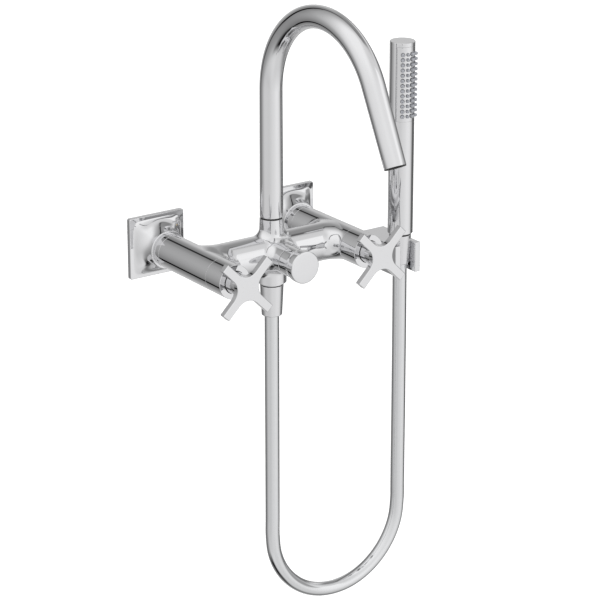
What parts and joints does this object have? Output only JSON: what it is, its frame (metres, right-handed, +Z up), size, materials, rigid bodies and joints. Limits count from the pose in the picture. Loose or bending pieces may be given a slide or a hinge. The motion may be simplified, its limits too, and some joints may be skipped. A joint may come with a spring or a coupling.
{
  "type": "wall mounted bath faucet",
  "caption": "Wall mounted bath mixer with cross handles, swivel gooseneck spout, pull diverter, and a stick hand shower in a fork on a looped hose.",
  "frame": {"origin": "midway between the two wall inlets, on the finished wall", "axes": "+X right along the wall as seen from the front, +Y into the wall, +Z up"},
  "size_m": [0.2695, 0.296, 0.6213],
  "materials": {
    "chrome": "polished",
    "hose_metal": "polished, smooth sleeve",
    "brass": "machined",
    "steel": "plain",
    "seal_rubber": "matte",
    "nozzle_rubber": "matte",
    "plastic": "moulded"
  },
  "bodies": {
    "mixer": {"mixer_body": "chrome", "wall_union_left": "brass", "wall_union_right": "brass", "union_seals_left": "seal_rubber", "union_seals_right": "seal_rubber", "inlet_filter_left": "plastic", "inlet_filter_right": "plastic", "wall_plate_left": "chrome", "wall_plate_right": "chrome", "plate_ring_left": "seal_rubber", "plate_ring_right": "seal_rubber", "leg_screws": "steel", "cartridge_left": "brass", "cartridge_right": "brass", "cartridge_seal_left": "seal_rubber", "cartridge_seal_right": "seal_rubber", "bonnet_left": "chrome", "bonnet_right": "chrome", "spout_screw": "steel", "diverter_bush": "brass", "diverter_seal": "seal_rubber", "hose_nipple": "chrome", "check_valve": "plastic", "hose_nut": "chrome", "hose_washer": "seal_rubber", "hose_tail": "brass", "hose": "hose_metal", "holder_fork": "chrome", "holder_arm": "chrome", "holder_screw": "steel"},
    "left_handle": {"handle_left": "chrome", "handle_insert_left": "plastic", "handle_screw_left": "steel", "spindle_left": "brass"},
    "right_handle": {"handle_right": "chrome", "handle_insert_right": "plastic", "handle_screw_right": "steel", "spindle_right": "brass"},
    "spout": {"spout_tube": "chrome", "spout_seals": "seal_rubber", "spout_washer": "plastic", "aerator": "plastic"},
    "diverter": {"diverter_knob": "chrome", "diverter_stem": "brass", "diverter_spring": "steel", "diverter_disc": "seal_rubber"},
    "hose_end": {"hose_end_tail": "brass", "cone_washer": "seal_rubber"},
    "hand_shower": {"cone_nut": "chrome", "handset_tube": "chrome", "handset_cap": "chrome", "spray_strip": "chrome", "spray_nozzles": "nozzle_rubber", "handset_spigot": "brass"}
  },
  "joints": [
    {"name": "left_handle_turn", "type": "hinge", "parent": "mixer", "child": "left_handle", "pos_m": [-0.075, -0.1433, 0], "axis": [0, -1, 0], "range_deg": [0, 90]},
    {"name": "right_handle_turn", "type": "hinge", "parent": "mixer", "child": "right_handle", "pos_m": [0.075, -0.1433, 0], "axis": [0, 1, 0], "range_deg": [0, 90]},
    {"name": "spout_swivel", "type": "hinge", "parent": "mixer", "child": "spout", "pos_m": [0, -0.085, 0.024], "axis": [0, 0, 1], "range_deg": [-60, 60]},
    {"name": "diverter_pull", "type": "slide", "parent": "mixer", "child": "diverter", "axis": [0, -1, 0], "range_m": [0, 0.01], "stiffness_N_per_m": 250, "springref_m": -0.006},
    {"name": "handset_lift", "type": "slide", "parent": "mixer", "child": "hose_end", "axis": [0, 0, 1], "range_m": [0, 0.036]},
    {"name": "handset_turn", "type": "hinge", "parent": "hose_end", "child": "hand_shower", "pos_m": [0.15, -0.085, -0.02], "axis": [0, 0, 1], "continuous": true}
  ]
}
